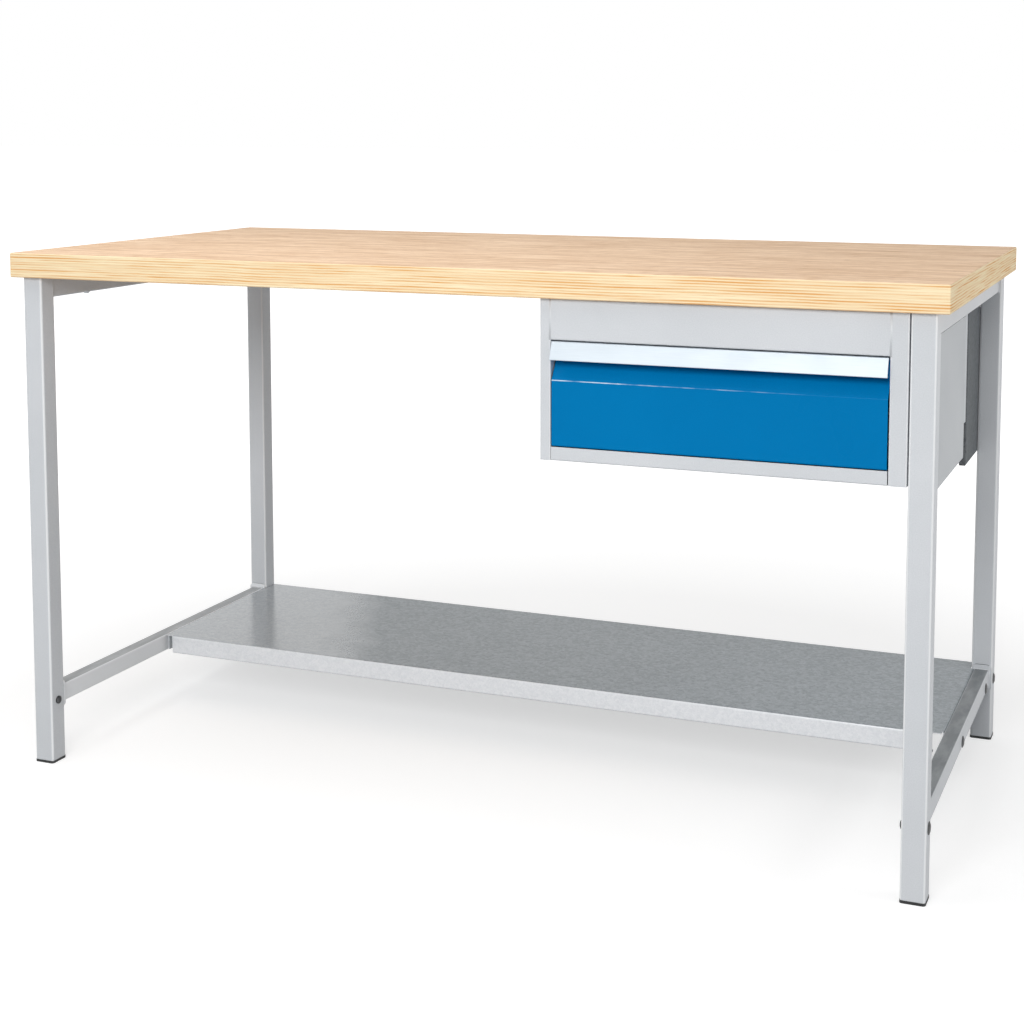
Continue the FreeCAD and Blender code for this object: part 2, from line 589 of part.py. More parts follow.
def make_end_panel_back():
    """Folded angle from the housing to the back leg's inner side, notched round the back rail's end."""
    out, out_in, far = "panel_back_flange", "panel_back_flange - panel_sheet", "panel_back_length"
    wrap = profile("EndPanelBackWrap", "XY_Plane", [
        ("0", "0"), (out, "0"), (out, far), (out_in, far), (out_in, "panel_sheet"), ("0", "panel_sheet")],
        "panel_back_height - panel_fold")
    round_off(wrap, "XY_Plane", [(out, "0")], "panel_fold")
    round_off(wrap, "XY_Plane", [(out_in, "panel_sheet")], "panel_bend")
    place(wrap, "leg_in_x - panel_back_flange", "housing_back", "panel_back_low + panel_fold")
    foot = place(panel_foot("EndPanelBackFoot", out, far), "leg_in_x - panel_back_flange",
                 "housing_back + panel_fold", "panel_back_low")
    tools = panel_holes("EndPanelBackHole", "back", "panel_sheet + overrun", "panel_sheet")
    tools.append(box("EndPanelBackNotch", "leg_in_x - panel_sheet - overrun",
                     "back_rail_front - panel_notch_gap", "back_rail_low - panel_notch_gap",
                     "panel_sheet + 2 * overrun", "leg_size", "back_rail_height"))
    node(cut("EndPanelBack", fuse("EndPanelBackFolded", [wrap, foot]), tools), "end_panel_back")


def make_housing_side(side):
    """Side wall of the drawer housing, folded in as a stile with a jamb in front, and at the back and top."""
    name = f"Housing{side.title()}"
    edge, sign = {"left": ("housing_left", ""), "right": ("housing_right", "-")}[side]
    stile, stile_in = f"{sign}stile_{side}", f"{sign}(stile_{side} - housing_sheet)"
    thick, far, far_in = f"{sign}housing_sheet", "housing_depth", "housing_depth - housing_sheet"
    wall = profile(name + "Wall", "XY_Plane", [
        ("0", "0"), (stile, "0"), (stile, "stile_return"), (stile_in, "stile_return"),
        (stile_in, "housing_sheet"), (thick, "housing_sheet"), (thick, far_in),
        (f"{sign}housing_flange", far_in), (f"{sign}housing_flange", far), ("0", far)], "housing_height")
    round_off(wall, "XY_Plane", [("0", "0"), (stile, "0"), ("0", far)], "housing_fold")
    round_off(wall, "XY_Plane", [(thick, "housing_sheet"), (stile_in, "housing_sheet"), (thick, far_in)],
              "housing_bend")
    place(wall, edge, "front_y", "housing_low")
    corner = edge if side == "left" else f"{edge} - housing_flange"
    top = box(name + "Top", corner, "front_y + stile_return", "deck - housing_sheet", "housing_flange",
              "housing_depth - stile_return - 2 * housing_sheet", "housing_sheet")
    spots = HOUSING_SCREWS[:3] if side == "left" else HOUSING_SCREWS[3:]
    tools = [drill(f"{name}Hole{number}", x, y, "deck - housing_sheet - overrun", "screw_hole",
                   "housing_sheet + 2 * overrun", ALONG_Z) for number, (x, y) in enumerate(spots)]
    node(cut(name, fuse(name + "Folded", [wall, top]), tools), f"housing_{side}")


def make_housing_fascia():
    """Folded front strip over the drawer, between the stiles."""
    strip = folded_channel("HousingFascia", "fascia_return", "fascia_height", "housing_sheet", "housing_bend",
                           "open_right - open_left")
    node(place(strip, "open_left", "front_y", "open_high"), "housing_fascia")


def make_housing_floor():
    """Floor sheet, turned up at the front as the sill and along the other three sides."""
    far = "(housing_depth - 2 * housing_sheet)"
    inside = "(housing_width - 2 * housing_sheet)"
    sill = profile("HousingSill", "YZ_Plane", [
        ("0", "0"), (far, "0"), (far, "floor_flange"), (f"{far} - housing_sheet", "floor_flange"),
        (f"{far} - housing_sheet", "housing_sheet"), ("housing_sheet", "housing_sheet"),
        ("housing_sheet", "sill_height"), ("0", "sill_height")], "open_right - open_left - 2 * sill_gap")
    round_off(sill, "YZ_Plane", [("0", "0"), (far, "0")], "housing_fold")
    round_off(sill, "YZ_Plane", [("housing_sheet", "housing_sheet"),
                                 (f"{far} - housing_sheet", "housing_sheet")], "housing_bend")
    place(sill, "open_left + sill_gap", "front_y", "housing_low")
    left, front = "housing_left + housing_sheet", "front_y + stile_return + sill_gap"
    length = f"{far} - stile_return - sill_gap - housing_fold"
    pieces = [sill, box("HousingFloorSheet", left, front, "housing_low", inside, length, "housing_sheet")]
    for side, x in (("Left", left), ("Right", "housing_right - 2 * housing_sheet")):
        pieces.append(box(f"HousingFloor{side}", x, front, "housing_low", "housing_sheet", length,
                          "floor_flange"))
    node(fuse("HousingFloor", pieces), "housing_floor")


def make_housing_back():
    """Plain back sheet, inside the side walls' back flanges."""
    node(box("HousingBack", "housing_left + housing_fold", "housing_back - 2 * housing_sheet", "housing_low",
             "housing_width - 2 * housing_fold", "housing_sheet", "housing_height"), "housing_back")


def make_slide(side):
    """One telescopic slide: bracket, fixed member, middle member and drawer member, nested by their lips."""
    turn = ALONG_Z if side == "left" else HALF_TURN_Y
    half, thick, far = "slide_height / 2", "slide_sheet", "slide_reach"
    wall = "housing_left + housing_sheet" if side == "left" else "housing_right - housing_sheet"
    deep = f"(slide_left - ({wall}))" if side == "left" else f"({wall} - slide_right)"
    rise = "bracket_height / 2"
    upper = [("bracket_sheet", f"{rise} + bracket_foot"), ("0", f"{rise} + bracket_foot"),
             ("0", f"{rise} - bracket_sheet"), (f"{deep} - bracket_sheet", f"{rise} - bracket_sheet")]
    bracket = [(deep, rise), ("bracket_sheet", rise)] + upper
    fixed = [("0", half), (far, half), (far, f"{half} - {thick} - slide_lip"),
             (f"{far} - {thick}", f"{half} - {thick} - slide_lip"), (f"{far} - {thick}", f"{half} - {thick}"),
             (thick, f"{half} - {thick}")]
    lip = f"middle_half - {thick} - slide_lip + 2 * slide_play"
    middle = [("middle_near", "middle_half"), ("middle_far", "middle_half"), ("middle_far", lip),
              (f"middle_far - {thick}", lip), (f"middle_far - {thick}", f"middle_half - {thick}"),
              (f"middle_near + {thick}", f"middle_half - {thick}")]
    drawer = [("slide_thick", "neck_half"), ("foot_far", "neck_half"), ("foot_far", "foot_half"),
              (f"foot_far - {thick}", "foot_half"), (f"foot_far - {thick}", f"neck_half - {thick}"),
              (f"slide_thick - {thick}", f"neck_half - {thick}")]
    seat = "slide_left" if side == "left" else "slide_right"
    for label, upper_half, x in (("bracket", bracket, wall), ("fixed", fixed, seat), ("middle", middle, seat),
                                 ("drawer", drawer, seat)):
        mirrored = [(across, f"-({up})") for across, up in reversed(upper_half)]
        bar = profile(f"Slide{label.title()}{side.title()}", "XZ_Plane", upper_half + mirrored,
                      "slide_length", backwards=True)
        place(bar, x, "slide_front", "slide_z", turn)
        if label == "drawer":
            start = "tray_left + overrun" if side == "left" else "tray_right - overrun"
            tools = [drill(f"SlideHole{side.title()}{number}", start, y, "slide_z", "rivet_hole",
                           "slide_sheet + 2 * overrun", OUTWARD[side])
                     for number, y in enumerate(SLIDE_SCREWS)]
            bar = cut(f"SlideDrawer{side.title()}Drilled", bar, tools)
        node(bar, f"slide_{label}_{side}")


def make_drawer_tray():
    """Tray of three sheets: floor and sides folded from one, a tall front wall and a back wall."""
    rim = "tray_height - tray_hem_drop"
    left = [("0", "tray_height"), ("0", "0")]
    right = [("tray_width", "0"), ("tray_width", "tray_height")]
    inside = [("tray_width - tray_hem", "tray_height"), ("tray_width - tray_hem", rim),
              ("tray_width - tray_sheet", rim), ("tray_width - tray_sheet", "tray_sheet"),
              ("tray_sheet", "tray_sheet"), ("tray_sheet", rim), ("tray_hem", rim),
              ("tray_hem", "tray_height")]
    trough = profile("TrayTrough", "XZ_Plane", left + right + inside, "tray_depth - 2 * tray_sheet",
                     backwards=True)
    place(trough, "tray_left", "tray_front + tray_sheet", "tray_low")
    tools = []
    for side, x in (("left", "tray_left - overrun"), ("right", "tray_right - tray_sheet - overrun")):
        tools += [drill(f"TrayScrewHole{side.title()}{number}", x, y, "slide_z", "rivet_hole",
                        "tray_sheet + 2 * overrun", ALONG_X) for number, y in enumerate(SLIDE_SCREWS)]
    node(cut("DrawerTray", trough, tools), "drawer_tray")
    wall = box("TrayWall", "tray_left", "tray_front", "tray_low", "tray_width", "tray_sheet",
               "tray_front_height")
    tools = [drill(f"TrayRivetHole{number}", x, "tray_front + tray_sheet + overrun", FRONT_RIVET_Z,
                   "rivet_hole", "tray_sheet + 2 * overrun", ALONG_MINUS_Y)
             for number, x in enumerate(FRONT_RIVETS)]
    node(cut("DrawerWallFront", wall, tools), "drawer_wall_front")
    back = profile("DrawerWallBack", "YZ_Plane", [
        ("0", "0"), ("tray_sheet", "0"), ("tray_sheet", rim), ("tray_hem", rim), ("tray_hem", "tray_height"),
        ("0", "tray_height")], "tray_width")
    place(back, "tray_left", "tray_front + tray_depth - tray_sheet", "tray_low")
    node(back, "drawer_wall_back")


def make_drawer_front():
    """Folded front: an upright face, a slope back into the grip recess, a ledge turned forward above it."""
    thick, crease, top = "front_sheet", "front_face_height", "flange_top"
    recess_top = f"{crease} + recess_height"
    face = profile("DrawerFrontSheet", "YZ_Plane", [
        ("front_hem", "0"), ("0", "0"), ("0", crease), ("recess_depth", recess_top),
        ("recess_depth", f"{top} - {thick}"), ("handle_thick", f"{top} - {thick}"), ("handle_thick", top),
        (f"recess_depth + {thick}", top), (f"recess_depth + {thick}", recess_top), (thick, crease),
        (thick, thick), ("front_hem", thick)], "drawer_width")
    round_off(face, "YZ_Plane", [("0", "0"), ("0", crease)], f"front_bend + {thick}")
    round_off(face, "YZ_Plane", [(thick, thick), (thick, crease)], "front_bend")
    place(face, "drawer_left", "front_y", "drawer_low")
    tools = [drill(f"FrontRivetHole{number}", x, f"front_y + recess_depth + {thick} + overrun",
                   FRONT_RIVET_Z, "rivet_hole", f"{thick} + 2 * overrun", ALONG_MINUS_Y)
             for number, x in enumerate(FRONT_RIVETS)]
    tools += [drill(f"FrontLedgeHole{number}", x, "front_y + handle_screw_back",
                    f"drawer_low + {top} - {thick} - overrun", "rivet_hole", f"{thick} + 2 * overrun",
                    ALONG_Z) for number, x in enumerate(FRONT_RIVETS)]
    node(cut("DrawerFront", face, tools), "drawer_front")


def make_drawer_handle():
    """Aluminium strip over the recess: a ledge on top, a face that leans out, and a beaded lower edge."""
    top, low = "drawer_height", "(drawer_height - handle_height)"
    slope = "handle_lean * handle_thick / handle_height"
    back = "recess_depth + front_sheet - ledge_back_gap"
    bead = "-handle_lean + handle_bead"
    strip = profile("HandleStrip", "YZ_Plane", [
        (back, f"{top} - handle_thick"), (back, top), ("0", top), ("-handle_lean", low), (bead, low),
        (bead, f"{low} + handle_thick"), (f"-handle_lean + handle_thick + {slope}", f"{low} + handle_thick"),
        (f"handle_thick - {slope}", f"{top} - handle_thick")], "drawer_width")
    round_off(strip, "YZ_Plane", [("0", top), ("-handle_lean", low), (bead, low),
                                  (bead, f"{low} + handle_thick")], "handle_round")
    place(strip, "drawer_left", "front_y", "drawer_low")
    tools = [drill(f"HandleHole{number}", x, "front_y + handle_screw_back",
                   "drawer_low + flange_top - overrun", "rivet_hole", "handle_thick + 2 * overrun", ALONG_Z)
             for number, x in enumerate(FRONT_RIVETS)]
    node(cut("DrawerHandle", strip, tools), "drawer_handle")


def make_bolts():
    """Bolts and cap nuts of the frame, each kind one sub-part."""
    grip = "nut_grip + nut_floor_gap"
    nut = turned("CapNut", [
        ("bolt_hole", "0"), ("nut_size / 2", "0"), ("nut_size / 2", "nut_grip"),
        ("nut_size * head_crown_share", "nut_height"), ("0", "nut_height"), ("0", grip), ("bolt_hole", grip)])
    cross = headed("CrossBolt", "bolt_size", "bolt_head", "bolt_head_height", "leg_size + nut_grip")
    corners = [(side, f"{ENDS[end]}leg_y") for side in SIDES for end in ENDS]
    group("frame_bolts", copies("FrameBolt", cross, [
        (f"{SIDES[side]}leg_out_x", y, "cross_bolt_level", INWARD[side]) for side, y in corners]))
    group("frame_nuts", copies("FrameNut", nut, [
        (f"{SIDES[side]}leg_in_x", y, "cross_bolt_level", INWARD[side]) for side, y in corners]))
    long = headed("ShelfBolt", "bolt_size", "bolt_head", "bolt_head_height",
                  "rail_width + shelf_sheet + nut_grip")
    spots = [(side, y) for side in SIDES for y in SHELF_BOLTS]
    group("shelf_bolts", copies("ShelfBoltAt", long, [
        (f"{SIDES[side]}rail_out_x", y, "cross_bolt_level", INWARD[side]) for side, y in spots]))
    group("shelf_nuts", copies("ShelfNut", nut, [
        (f"{SIDES[side]}(rail_in_x - shelf_sheet)", y, "cross_bolt_level", INWARD[side])
        for side, y in spots]))
    short = headed("BackBolt", "bolt_size", "bolt_head", "bolt_head_height",
                   "back_plate_thick + leg_wall + nut_grip")
    levels = [(side, level) for side in SIDES for level in BACK_BOLT_LEVELS]
    group("back_rail_bolts", copies("BackBoltAt", short, [
        (f"{SIDES[side]}back_plate_x", "leg_y", level, OUTWARD[side]) for side, level in levels]))
    group("back_rail_nuts", copies("BackNut", nut, [
        (f"{SIDES[side]}(leg_in_x + leg_wall)", "leg_y", level, OUTWARD[side]) for side, level in levels]))


def make_screws():
    """Screws up into the top, screws of the end panel, and the drawer's screws and rivets."""
    for label, seat, through, spots in (
            ("rail_screws", "upper_rail_low", "upper_rail_height", RAIL_SCREWS),
            ("back_rail_screws", "deck - back_rail_sheet", "back_rail_sheet", BACK_SCREWS),
            ("housing_screws", "deck - housing_sheet", "housing_sheet", HOUSING_SCREWS)):
        name = label.title().replace("_", "")
        master = headed(name + "Master", "screw_size", "screw_head", "screw_head_height",
                        f"{through} + screw_grip")
        group(label, copies(name, master, [(x, y, seat, ALONG_Z) for x, y in spots]))
    tapping = headed("PanelScrew", "panel_screw_size", "screw_head", "screw_head_height",
                     "panel_screw_length")
    spots = [(panel_spot(end, "panel_sheet"), level) for end in ENDS for level in PANEL_SCREW_LEVELS[end]]
    group("panel_screws", copies("PanelScrewAt", tapping, [
        (x, y, level, turn) for (x, y, turn), level in spots]))
    rivet = headed("FrontRivet", "rivet_size", "rivet_head", "rivet_head_height",
                   "tray_sheet + front_sheet + rivet_tail")
    group("front_rivets", copies("FrontRivetAt", rivet, [
        (x, "tray_front + tray_sheet", FRONT_RIVET_Z, ALONG_MINUS_Y) for x in FRONT_RIVETS]))
    flush = headed("HandleRivet", "rivet_size", "rivet_head", "rivet_head_height",
                   "front_sheet + handle_thick")
    group("handle_rivets", copies("HandleRivetAt", flush, [
        (x, "front_y + handle_screw_back", "drawer_low + flange_top - front_sheet", ALONG_Z)
        for x in FRONT_RIVETS]))
    slim = headed("SlideScrew", "rivet_size", "rivet_head", "rivet_head_height",
                  "tray_sheet + slide_sheet + rivet_tail")
    group("slide_screws", copies("SlideScrewAt", slim, [
        (x, y, "slide_z", OUTWARD[side])
        for side, x in (("left", "tray_left + tray_sheet"), ("right", "tray_right - tray_sheet"))
        for y in SLIDE_SCREWS]))


make_worktop()
for end in ENDS:
    for side in SIDES:
        make_leg(end, side)
make_foot_caps()
for side in SIDES:
    make_upper_rail(side)
    make_lower_rail(side)
make_back_rail()
make_shelf()
make_end_panel()
make_end_panel_back()
for side in SIDES:
    make_housing_side(side)
make_housing_fascia()
make_housing_floor()
make_housing_back()
for side in SIDES:
    make_slide(side)
make_drawer_tray()
make_drawer_front()
make_drawer_handle()
make_bolts()
make_screws()
doc.recompute()

for thing in doc.Objects:
    if {"Invalid", "Error"} & set(thing.State):
        raise RuntimeError(f"{thing.Label} failed to build")
for thing in nodes:
    if thing.Shape.isNull() or not thing.Shape.isValid():
        raise RuntimeError(f"{thing.Label} has no valid shape")

os.makedirs("parts", exist_ok=True)
for thing in nodes:
    thing.Shape.exportStep(f"parts/{thing.Label}.step")
    print(thing.Label, len(thing.Shape.Solids), "solids", round(thing.Shape.Volume / 1000, 2), "cm3")
print(len(nodes), "sub-parts")
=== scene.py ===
# %% [markdown]
# # A workbench, dressed for its picture
# The bench is a thick plywood board on two grey tube frames, with a bare sheet shelf low at the
# back and one blue drawer in a grey sheet housing under the board at the right. All its solid
# shapes come from the CAD model, so this lesson is about what CAD leaves out: the finish of each
# material, the light, the camera, and a few small forms that only a close look shows.

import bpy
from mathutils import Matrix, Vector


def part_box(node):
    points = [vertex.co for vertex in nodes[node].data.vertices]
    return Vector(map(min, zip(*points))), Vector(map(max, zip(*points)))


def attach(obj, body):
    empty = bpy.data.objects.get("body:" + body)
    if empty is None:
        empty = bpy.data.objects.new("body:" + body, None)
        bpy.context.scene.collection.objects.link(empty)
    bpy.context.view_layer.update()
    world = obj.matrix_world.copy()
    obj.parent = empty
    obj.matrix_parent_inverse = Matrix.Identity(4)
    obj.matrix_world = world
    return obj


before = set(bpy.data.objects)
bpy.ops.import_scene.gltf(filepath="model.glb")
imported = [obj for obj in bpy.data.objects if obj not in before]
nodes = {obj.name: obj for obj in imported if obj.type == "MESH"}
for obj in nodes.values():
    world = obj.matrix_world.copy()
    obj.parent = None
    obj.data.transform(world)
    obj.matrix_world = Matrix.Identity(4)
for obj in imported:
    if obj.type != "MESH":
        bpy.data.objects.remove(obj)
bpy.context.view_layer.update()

# %% Tools of the lesson
import math

import bmesh
import bpy
from mathutils import Matrix, Vector

scene = bpy.context.scene
scene.view_settings.view_transform = "Standard"
print("colours are shown as written:", scene.view_settings.view_transform)

# %% [markdown]
# ## The camera
# The picture was taken from the bench's right front, a little above the board, with a lens that
# was shifted down so that the legs stay upright. The camera here stands in the same place. It is
# tipped down by a few degrees and keeps only part of the shift: a full shift would push the bench
# out of the picture as soon as the camera walks round to another side.

# %% Place the camera
tip_degrees, turn_degrees = 5.37, 21.867
camera_data = bpy.data.cameras.new("bench_camera")
camera_data.sensor_width = 36.0
camera_data.lens = 61.463
camera_data.shift_x = -0.0155
camera_data.shift_y = -0.22
camera_data.dof.use_dof = False
camera = bpy.data.objects.new("bench_camera", camera_data)
camera.location = (1.0829, -2.68522, 1.06033)
camera.rotation_euler = (math.radians(90 - tip_degrees), 0, math.radians(turn_degrees))
scene.collection.objects.link(camera)
scene.camera = camera
print("camera stands", round(camera.location.length, 2), "m from the middle of the bench's floor")

# %% [markdown]
# ## Colours as a painter mixes them
# A colour picked from a screen is written in steps of 0 to 255 that follow the eye. Blender's
# shaders count light instead, so every picked colour goes through the same curve once, here.

# %% Turn a picked colour into light
def tone(red, green, blue):
    def light(step):
        share = step / 255
        return share / 12.92 if share <= 0.04045 else ((share + 0.055) / 1.055) ** 2.4
    return (light(red), light(green), light(blue), 1.0)


print("light tone of the grey paint, as light:", [round(v, 3) for v in tone(216, 219, 223)])

# %% [markdown]
# ## Wiring shader nodes
# In the editor a node is dragged in and wired by hand. In a script a few short helpers do that:
# one adds a node, one fills a socket with a number or a wire, and the others do sums with values
# that change over the surface. The most useful one spreads a range of values over another range,
# mostly 0 to 1, which turns a pattern or a direction into a mask. The last one gives the place on
# the piece, which every pattern starts from.

# %% Helpers for shader nodes
def add(tree, kind, **settings):
    made = tree.nodes.new(kind)
    for name, value in settings.items():
        setattr(made, name, value)
    return made


def fill(tree, socket, value):
    if isinstance(value, (int, float, tuple)):
        socket.default_value = value
    else:
        tree.links.new(value, socket)


def sums(tree, operation, first, second=0.0):
    made = add(tree, "ShaderNodeMath", operation=operation)
    fill(tree, made.inputs[0], first)
    fill(tree, made.inputs[1], second)
    return made.outputs[0]


def product(tree, first, *others):
    for other in others:
        first = sums(tree, "MULTIPLY", first, other)
    return first


def spread(tree, value, low, high, to_low=0.0, to_high=1.0):
    made = add(tree, "ShaderNodeMapRange")
    for label, number in (("Value", value), ("From Min", low), ("From Max", high),
                          ("To Min", to_low), ("To Max", to_high)):
        fill(tree, made.inputs[label], number)
    return made.outputs["Result"]


def place_on(tree):
    return add(tree, "ShaderNodeTexCoord").outputs["Object"]


print("helpers ready: add, fill, sums, product, spread, place_on")

# %% [markdown]
# ## Floor and white room
# The bench stands in a white room without corners. The floor is a plain pale plane. For the eye
# of the camera, and for what polished metal reflects, it glows a little, and more with distance,
# so that it runs out to white. The glow adds no light to the bench, and the shadow under the
# bench stays visible, because only the lit part of the floor gets darker there.

# %% Lay the floor
floor_half_width, floor_grey = 60, 0.58
glow_start, glow_end = 1.0, 2.6
glow_near, glow_far = 0.56, 1.0


def seen_directly(tree):
    path = add(tree, "ShaderNodeLightPath")
    mirrored = sums(tree, "MAXIMUM", path.outputs["Is Glossy Ray"], path.outputs["Is Transmission Ray"])
    return sums(tree, "MAXIMUM", path.outputs["Is Camera Ray"], mirrored)


floor_bm = bmesh.new()
bmesh.ops.create_grid(floor_bm, x_segments=1, y_segments=1, size=floor_half_width)
floor_mesh = bpy.data.meshes.new("floor")
floor_bm.to_mesh(floor_mesh)
floor_bm.free()
floor = bpy.data.objects.new("floor", floor_mesh)
scene.collection.objects.link(floor)

floor_paint = bpy.data.materials.new("floor_white")
floor_paint.use_nodes = True
tree = floor_paint.node_tree
tree.nodes.clear()
matt = add(tree, "ShaderNodeBsdfDiffuse")
matt.inputs["Color"].default_value = (floor_grey, floor_grey, floor_grey, 1)
away = add(tree, "ShaderNodeVectorMath", operation="LENGTH")
fill(tree, away.inputs[0], place_on(tree))
level = spread(tree, away.outputs["Value"], glow_start, glow_end, glow_near, glow_far)
glow = add(tree, "ShaderNodeEmission")
fill(tree, glow.inputs["Strength"], product(tree, seen_directly(tree), level))
lit = add(tree, "ShaderNodeAddShader")
fill(tree, lit.inputs[0], matt.outputs[0])
fill(tree, lit.inputs[1], glow.outputs[0])
fill(tree, add(tree, "ShaderNodeOutputMaterial").inputs["Surface"], lit.outputs[0])
floor_mesh.materials.append(floor_paint)
print("floor is", floor.dimensions.x, "m wide")

# %% Fill the room with soft light
room_light, seen_white = 0.42, 1.0


def background(tree, strength):
    made = add(tree, "ShaderNodeBackground")
    made.inputs["Color"].default_value = (1, 1, 1, 1)
    made.inputs["Strength"].default_value = strength
    return made.outputs[0]


room = bpy.data.worlds.new("white_room")
scene.world = room
room.use_nodes = True
tree = room.node_tree
tree.nodes.clear()
pick = add(tree, "ShaderNodeMixShader")
fill(tree, pick.inputs[0], seen_directly(tree))
fill(tree, pick.inputs[1], background(tree, room_light))
fill(tree, pick.inputs[2], background(tree, seen_white))
fill(tree, add(tree, "ShaderNodeOutputWorld").inputs["Surface"], pick.outputs[0])
print("room light:", room_light)

# %% [markdown]
# ## Lamps
# A product picture like this is lit by large soft boxes. The main one stands in front and above:
# it makes the front faces the brightest. A wide one hangs over the board, to the left, so that the
# board gets a little darker towards the drawer. A small one at the right hangs a little over the
# board's height: it lights the right end of the bench, and the board keeps it off the left legs. On
# the front faces all of it adds up to about 1, the level at which a paint looks as it was mixed.

# %% Hang the lamps
def soft_box(name, place, aim, width, height, power):
    data = bpy.data.lights.new(name, "AREA")
    data.shape = "RECTANGLE"
    data.size, data.size_y, data.energy = width, height, power
    lamp = bpy.data.objects.new(name, data)
    lamp.location = place
    lamp.rotation_euler = (Vector(aim) - Vector(place)).to_track_quat("-Z", "Y").to_euler()
    scene.collection.objects.link(lamp)
    return lamp


lamps = [
    soft_box("lamp_front", place=(0.5, -3.4, 2.0), aim=(0.1, 0.0, 0.5), width=1.8, height=1.2, power=63),
    soft_box("lamp_overhead", place=(-0.6, -0.6, 2.4), aim=(-0.6, -0.6, 0), width=1.6, height=1.2, power=17),
    soft_box("lamp_right", place=(2.3, -0.1, 1.05), aim=(0.75, 0, 0.8), width=1.2, height=0.4, power=7),
]
print("lamps:", [(lamp.name, round(lamp.data.energy)) for lamp in lamps])

# %% [markdown]
# ## Effects shared by many finishes
# Paint, zinc and wood look real through small changes over the surface. Each such effect is made
# once, as a node group with named inputs and outputs, and then placed in every material that
# needs it. The groups put out only what changes over the surface. A value that is the same all
# over, such as how metallic a finish is, is set on the shader itself.

# %% Start a node group
NUMBER, COLOUR, VECTOR = "NodeSocketFloat", "NodeSocketColor", "NodeSocketVector"


def new_group(name, inputs, outputs):
    group = bpy.data.node_groups.new(name, "ShaderNodeTree")
    for label, kind, start in inputs:
        socket = group.interface.new_socket(label, in_out="INPUT", socket_type=kind)
        socket.default_value = start
    for label, kind in outputs:
        group.interface.new_socket(label, in_out="OUTPUT", socket_type=kind)
    return group, add(group, "NodeGroupInput").outputs, add(group, "NodeGroupOutput").inputs


def noise(tree, vector, scale, detail=2.0, roughness=0.5, distortion=0.0):
    made = add(tree, "ShaderNodeTexNoise")
    for label, value in (("Vector", vector), ("Scale", scale), ("Detail", detail),
                         ("Roughness", roughness), ("Distortion", distortion)):
        fill(tree, made.inputs[label], value)
    return made.outputs["Fac"]


def weighed(tree, *parts):
    total, *others = [product(tree, value, weight) for value, weight in parts]
    for other in others:
        total = sums(tree, "ADD", total, other)
    return total


def blend(tree, share, first, second):
    made = add(tree, "ShaderNodeMix", data_type="RGBA")
    fill(tree, made.inputs["Factor"], share)
    colours = [socket for socket in made.inputs if socket.type == "RGBA"]
    fill(tree, colours[0], first)
    fill(tree, colours[1], second)
    return next(socket for socket in made.outputs if socket.type == "RGBA")


print("group helpers ready: new_group, noise, weighed, blend")

# %% [markdown]
# ### Edges
# No folded or painted edge is perfectly sharp. The group rounds the shading near an edge, which
# catches the light as a thin bright line. It also puts out a mask of the edge, broken up by noise,
# for a painted highlight: a paler tone laid along the edge. A Bevel node does this without touching
# the CAD mesh.

# %% Group: edges
edges, given, result = new_group("soft_edges", [("Radius", NUMBER, 0.0008)],
                                 [("Edge", NUMBER), ("Normal", VECTOR)])
bevel = add(edges, "ShaderNodeBevel", samples=4)
fill(edges, bevel.inputs["Radius"], given["Radius"])
fill(edges, result["Normal"], bevel.outputs["Normal"])
turn = add(edges, "ShaderNodeVectorMath", operation="DOT_PRODUCT")
fill(edges, turn.inputs[0], bevel.outputs["Normal"])
fill(edges, turn.inputs[1], add(edges, "ShaderNodeNewGeometry").outputs["Normal"])
bent = spread(edges, turn.outputs["Value"], 0.995, 0.80)
# painted highlight: noise breaks up the edge mask that lays a paler tone along the edge
highlight_breakup = noise(edges, place_on(edges), scale=120, detail=4)
fill(edges, result["Edge"], product(edges, bent, spread(edges, highlight_breakup, 0.38, 0.66, 0.15, 1.0)))
print("group:", edges.name)

# %% [markdown]
# ### Painted highlight on round corners
# The tubes have rounded corners, and there a painted highlight makes the coat palest. Such a
# corner is where the surface looks two ways at once, so the product of the two level parts of its
# direction is a mask for it: none on a flat face, most at the middle of the round.

# %% Group: painted highlight on round corners
def split(tree, vector):
    made = add(tree, "ShaderNodeSeparateXYZ")
    fill(tree, made.inputs[0], vector)
    return made.outputs


def facing(tree):
    return split(tree, add(tree, "ShaderNodeTexCoord").outputs["Normal"])


corner_highlight, given, result = new_group("round_corner_highlight", [("Start", NUMBER, 0.45), ("Full", NUMBER, 0.95)],
                                   [("Corner", NUMBER)])
looks = facing(corner_highlight)
both = sums(corner_highlight, "ABSOLUTE", product(corner_highlight, looks["X"], looks["Y"]))
both = product(corner_highlight, both, 2.0)
fill(corner_highlight, result["Corner"], spread(corner_highlight, both, given["Start"], given["Full"]))
print("group:", corner_highlight.name)

# %% [markdown]
# ### Powder coat
# The grey and blue paint is a baked powder. Close up it has the skin of an orange, about a
# millimetre from hill to hill, and from further off the tone drifts a little. Roughness follows
# the drift, so that reflections are not the same all over.

# %% Group: powder coat
coat, given, result = new_group(
    "powder_coat",
    [("Light tone", COLOUR, (0.7, 0.7, 0.7, 1)), ("Dark tone", COLOUR, (0.6, 0.6, 0.6, 1)),
     ("Smooth", NUMBER, 0.36), ("Dull", NUMBER, 0.48)],
    [("Colour", COLOUR), ("Roughness", NUMBER), ("Height", NUMBER)])
place = place_on(coat)
drift = spread(coat, noise(coat, place, scale=7, detail=3, roughness=0.55), 0.3, 0.7)
specks = spread(coat, noise(coat, place, scale=600, detail=1), 0.30, 0.70)
share = weighed(coat, (drift, 0.45), (specks, 0.55))
fill(coat, result["Colour"], blend(coat, share, given["Dark tone"], given["Light tone"]))
fill(coat, result["Roughness"], spread(coat, drift, 0.0, 1.0, given["Smooth"], given["Dull"]))
fill(coat, result["Height"], noise(coat, place, scale=700, detail=1.5, roughness=0.4))
print("group:", coat.name)

